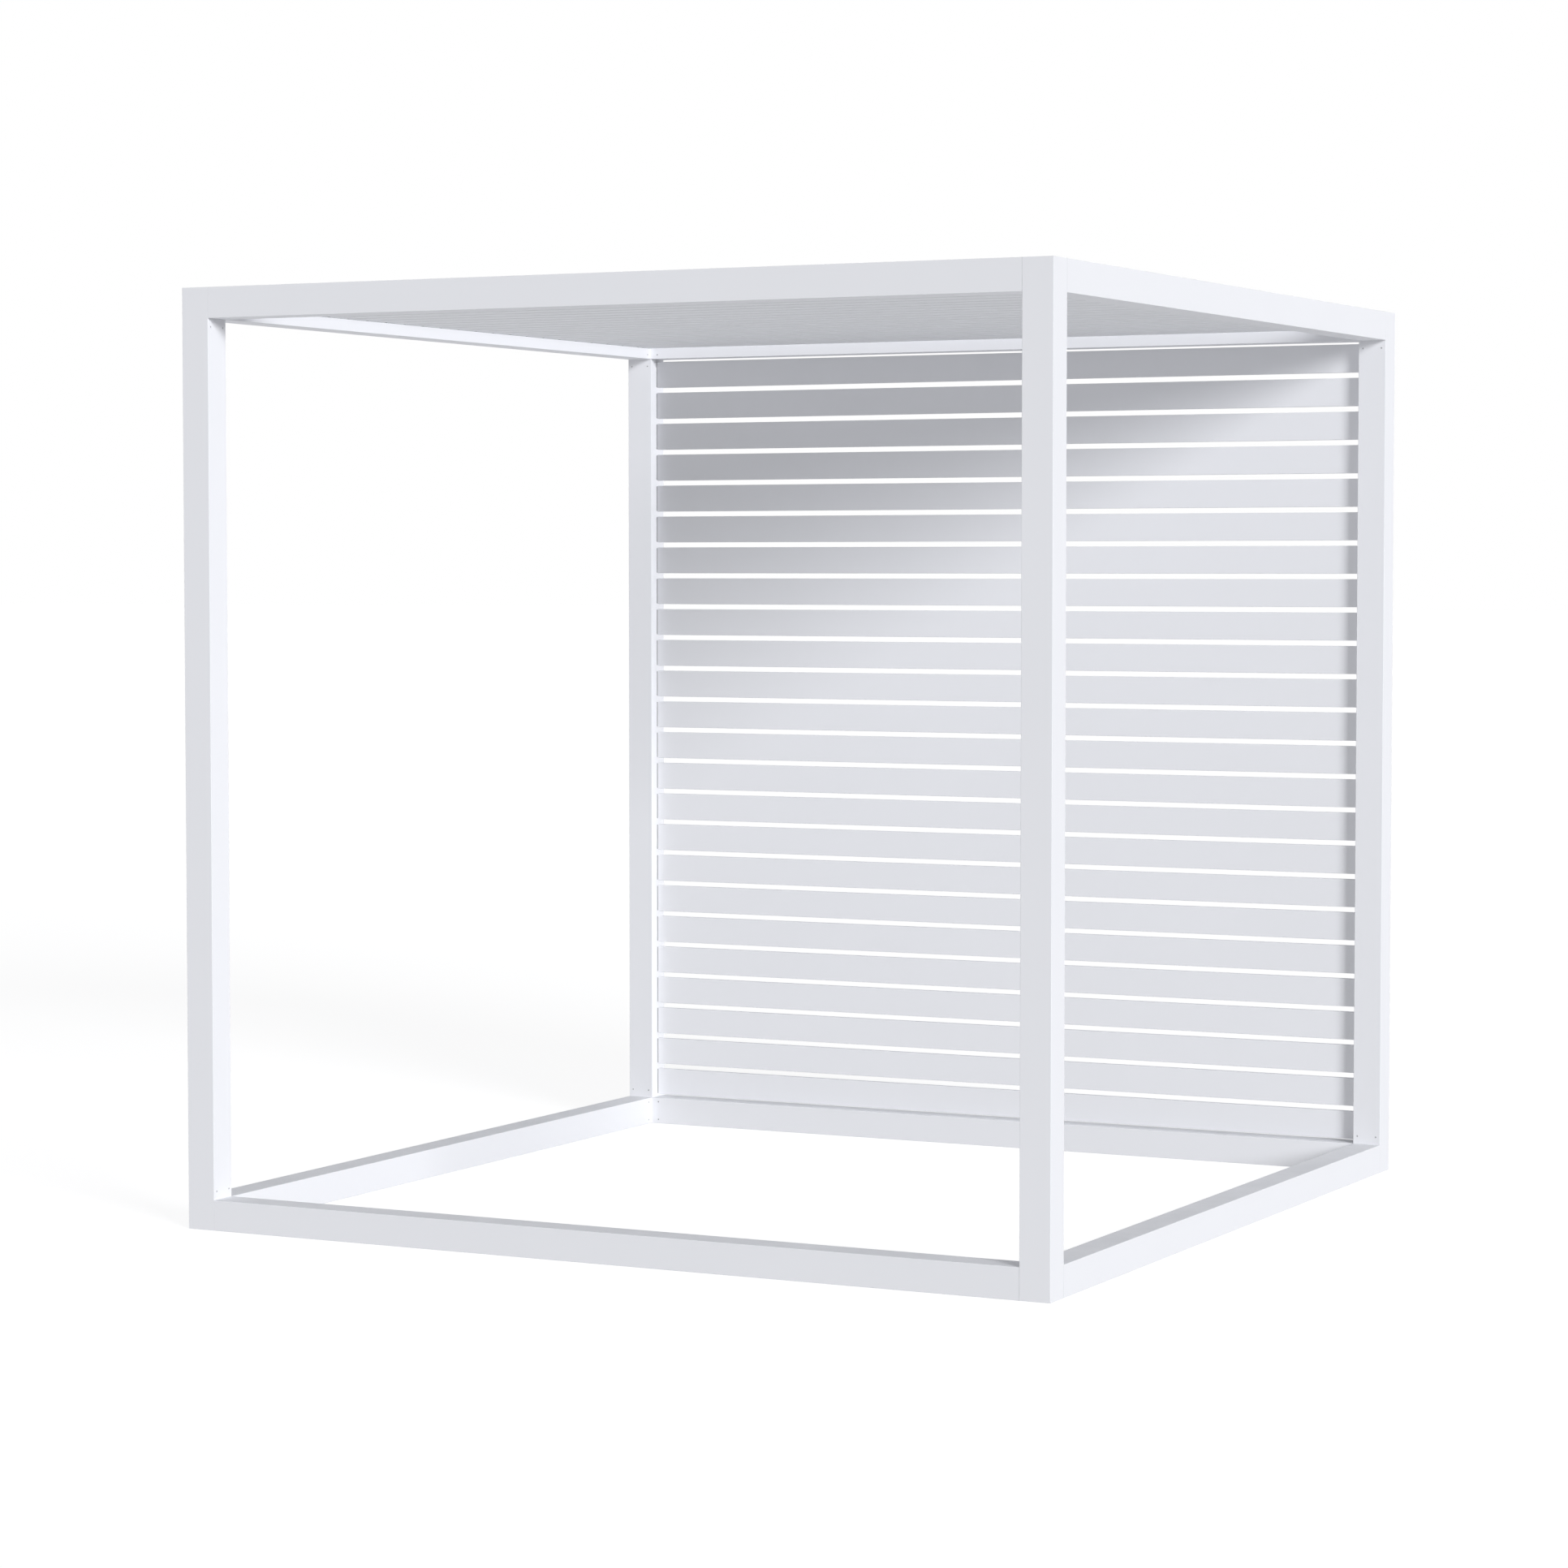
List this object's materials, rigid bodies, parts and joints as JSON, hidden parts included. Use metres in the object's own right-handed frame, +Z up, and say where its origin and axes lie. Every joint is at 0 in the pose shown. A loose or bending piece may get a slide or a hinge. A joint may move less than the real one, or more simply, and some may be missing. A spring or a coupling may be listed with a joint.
{
  "type": "pergola",
  "caption": "Free-standing cube-shaped garden pergola of square aluminium tube with a slatted back wall and a roof of linked slats that turn together from closed to upright.",
  "frame": {"origin": "on the ground, under the middle of the cube", "axes": "+Z up, +X along the open front to the right, +Y from the open front to the slatted back wall"},
  "size_m": [2.45, 2.45, 2.45],
  "materials": {
    "white_coating": "matt white powder coating on extruded aluminium",
    "bare_aluminium": "bare cast or extruded aluminium",
    "white_plastic": "moulded white plastic",
    "dark_plastic": "moulded dark plastic"
  },
  "bodies": {
    "frame": {"post_front_left": "white_coating", "post_front_right": "white_coating", "post_back_left": "white_coating", "post_back_right": "white_coating", "top_beam_front": "white_coating", "top_beam_back": "white_coating", "top_beam_left": "white_coating", "top_beam_right": "white_coating", "base_beam_front": "white_coating", "base_beam_back": "white_coating", "base_beam_left": "white_coating", "base_beam_right": "white_coating", "corner_joint_top_front_left": "bare_aluminium", "corner_joint_top_front_right": "bare_aluminium", "corner_joint_top_back_left": "bare_aluminium", "corner_joint_top_back_right": "bare_aluminium", "corner_joint_base_front_left": "bare_aluminium", "corner_joint_base_front_right": "bare_aluminium", "corner_joint_base_back_left": "bare_aluminium", "corner_joint_base_back_right": "bare_aluminium", "post_caps": "white_coating", "post_feet": "dark_plastic", "wall_slats": "white_coating", "wall_spigots_left": "white_plastic", "wall_spigots_right": "white_plastic", "bearing_strip_left": "dark_plastic", "bearing_strip_right": "dark_plastic", "keeper_strip_left": "dark_plastic", "keeper_strip_right": "dark_plastic"},
    "roof_slat_01": {"roof_slat_01": "white_coating"},
    "roof_slat_02": {"roof_slat_02": "white_coating"},
    "roof_slat_03": {"roof_slat_03": "white_coating"},
    "roof_slat_04": {"roof_slat_04": "white_coating"},
    "roof_slat_05": {"roof_slat_05": "white_coating"},
    "roof_slat_06": {"roof_slat_06": "white_coating"},
    "roof_slat_07": {"roof_slat_07": "white_coating"},
    "roof_slat_08": {"roof_slat_08": "white_coating"},
    "roof_slat_09": {"roof_slat_09": "white_coating"},
    "roof_slat_10": {"roof_slat_10": "white_coating"},
    "roof_slat_11": {"roof_slat_11": "white_coating"},
    "roof_slat_12": {"roof_slat_12": "white_coating"},
    "roof_slat_13": {"roof_slat_13": "white_coating"},
    "roof_slat_14": {"roof_slat_14": "white_coating"},
    "roof_slat_15": {"roof_slat_15": "white_coating"},
    "roof_slat_16": {"roof_slat_16": "white_coating"},
    "roof_slat_17": {"roof_slat_17": "white_coating"},
    "roof_slat_18": {"roof_slat_18": "white_coating"},
    "roof_slat_19": {"roof_slat_19": "white_coating"},
    "roof_slat_20": {"roof_slat_20": "white_coating"},
    "roof_slat_21": {"roof_slat_21": "white_coating"},
    "roof_slat_22": {"roof_slat_22": "white_coating"},
    "roof_slat_23": {"roof_slat_23": "white_coating"},
    "roof_slat_24": {"roof_slat_24": "white_coating"},
    "link_bar": {"link_bar": "bare_aluminium"}
  },
  "joints": [
    {"name": "turn_01", "type": "hinge", "parent": "frame", "child": "roof_slat_01", "pos_m": [0, -1.09729, 2.41], "axis": [1, 0, 0], "range_deg": [0, 90]},
    {"name": "turn_02", "type": "hinge", "parent": "frame", "child": "roof_slat_02", "pos_m": [0, -1.00188, 2.41], "axis": [1, 0, 0], "range_deg": [0, 90]},
    {"name": "turn_03", "type": "hinge", "parent": "frame", "child": "roof_slat_03", "pos_m": [0, -0.90646, 2.41], "axis": [1, 0, 0], "range_deg": [0, 90]},
    {"name": "turn_04", "type": "hinge", "parent": "frame", "child": "roof_slat_04", "pos_m": [0, -0.81104, 2.41], "axis": [1, 0, 0], "range_deg": [0, 90]},
    {"name": "turn_05", "type": "hinge", "parent": "frame", "child": "roof_slat_05", "pos_m": [0, -0.71562, 2.41], "axis": [1, 0, 0], "range_deg": [0, 90]},
    {"name": "turn_06", "type": "hinge", "parent": "frame", "child": "roof_slat_06", "pos_m": [0, -0.62021, 2.41], "axis": [1, 0, 0], "range_deg": [0, 90]},
    {"name": "turn_07", "type": "hinge", "parent": "frame", "child": "roof_slat_07", "pos_m": [0, -0.52479, 2.41], "axis": [1, 0, 0], "range_deg": [0, 90]},
    {"name": "turn_08", "type": "hinge", "parent": "frame", "child": "roof_slat_08", "pos_m": [0, -0.42938, 2.41], "axis": [1, 0, 0], "range_deg": [0, 90]},
    {"name": "turn_09", "type": "hinge", "parent": "frame", "child": "roof_slat_09", "pos_m": [0, -0.33396, 2.41], "axis": [1, 0, 0], "range_deg": [0, 90]},
    {"name": "turn_10", "type": "hinge", "parent": "frame", "child": "roof_slat_10", "pos_m": [0, -0.23854, 2.41], "axis": [1, 0, 0], "range_deg": [0, 90]},
    {"name": "turn_11", "type": "hinge", "parent": "frame", "child": "roof_slat_11", "pos_m": [0, -0.14313, 2.41], "axis": [1, 0, 0], "range_deg": [0, 90]},
    {"name": "turn_12", "type": "hinge", "parent": "frame", "child": "roof_slat_12", "pos_m": [0, -0.04771, 2.41], "axis": [1, 0, 0], "range_deg": [0, 90]},
    {"name": "turn_13", "type": "hinge", "parent": "frame", "child": "roof_slat_13", "pos_m": [0, 0.04771, 2.41], "axis": [1, 0, 0], "range_deg": [0, 90]},
    {"name": "turn_14", "type": "hinge", "parent": "frame", "child": "roof_slat_14", "pos_m": [0, 0.14313, 2.41], "axis": [1, 0, 0], "range_deg": [0, 90]},
    {"name": "turn_15", "type": "hinge", "parent": "frame", "child": "roof_slat_15", "pos_m": [0, 0.23854, 2.41], "axis": [1, 0, 0], "range_deg": [0, 90]},
    {"name": "turn_16", "type": "hinge", "parent": "frame", "child": "roof_slat_16", "pos_m": [0, 0.33396, 2.41], "axis": [1, 0, 0], "range_deg": [0, 90]},
    {"name": "turn_17", "type": "hinge", "parent": "frame", "child": "roof_slat_17", "pos_m": [0, 0.42938, 2.41], "axis": [1, 0, 0], "range_deg": [0, 90]},
    {"name": "turn_18", "type": "hinge", "parent": "frame", "child": "roof_slat_18", "pos_m": [0, 0.52479, 2.41], "axis": [1, 0, 0], "range_deg": [0, 90]},
    {"name": "turn_19", "type": "hinge", "parent": "frame", "child": "roof_slat_19", "pos_m": [0, 0.62021, 2.41], "axis": [1, 0, 0], "range_deg": [0, 90]},
    {"name": "turn_20", "type": "hinge", "parent": "frame", "child": "roof_slat_20", "pos_m": [0, 0.71562, 2.41], "axis": [1, 0, 0], "range_deg": [0, 90]},
    {"name": "turn_21", "type": "hinge", "parent": "frame", "child": "roof_slat_21", "pos_m": [0, 0.81104, 2.41], "axis": [1, 0, 0], "range_deg": [0, 90]},
    {"name": "turn_22", "type": "hinge", "parent": "frame", "child": "roof_slat_22", "pos_m": [0, 0.90646, 2.41], "axis": [1, 0, 0], "range_deg": [0, 90]},
    {"name": "turn_23", "type": "hinge", "parent": "frame", "child": "roof_slat_23", "pos_m": [0, 1.00188, 2.41], "axis": [1, 0, 0], "range_deg": [0, 90]},
    {"name": "turn_24", "type": "hinge", "parent": "frame", "child": "roof_slat_24", "pos_m": [0, 1.09729, 2.41], "axis": [1, 0, 0], "range_deg": [0, 90]},
    {"name": "link_swing", "type": "hinge", "parent": "roof_slat_01", "child": "link_bar", "pos_m": [1.16, -1.08598, 2.42131], "axis": [1, 0, 0], "range_deg": [-90, 0]}
  ],
  "couplings": [
    {"joint": "turn_02", "follows": "turn_01", "ratio": 1},
    {"joint": "turn_03", "follows": "turn_01", "ratio": 1},
    {"joint": "turn_04", "follows": "turn_01", "ratio": 1},
    {"joint": "turn_05", "follows": "turn_01", "ratio": 1},
    {"joint": "turn_06", "follows": "turn_01", "ratio": 1},
    {"joint": "turn_07", "follows": "turn_01", "ratio": 1},
    {"joint": "turn_08", "follows": "turn_01", "ratio": 1},
    {"joint": "turn_09", "follows": "turn_01", "ratio": 1},
    {"joint": "turn_10", "follows": "turn_01", "ratio": 1},
    {"joint": "turn_11", "follows": "turn_01", "ratio": 1},
    {"joint": "turn_12", "follows": "turn_01", "ratio": 1},
    {"joint": "turn_13", "follows": "turn_01", "ratio": 1},
    {"joint": "turn_14", "follows": "turn_01", "ratio": 1},
    {"joint": "turn_15", "follows": "turn_01", "ratio": 1},
    {"joint": "turn_16", "follows": "turn_01", "ratio": 1},
    {"joint": "turn_17", "follows": "turn_01", "ratio": 1},
    {"joint": "turn_18", "follows": "turn_01", "ratio": 1},
    {"joint": "turn_19", "follows": "turn_01", "ratio": 1},
    {"joint": "turn_20", "follows": "turn_01", "ratio": 1},
    {"joint": "turn_21", "follows": "turn_01", "ratio": 1},
    {"joint": "turn_22", "follows": "turn_01", "ratio": 1},
    {"joint": "turn_23", "follows": "turn_01", "ratio": 1},
    {"joint": "turn_24", "follows": "turn_01", "ratio": 1},
    {"joint": "link_swing", "follows": "turn_01", "ratio": -1}
  ]
}
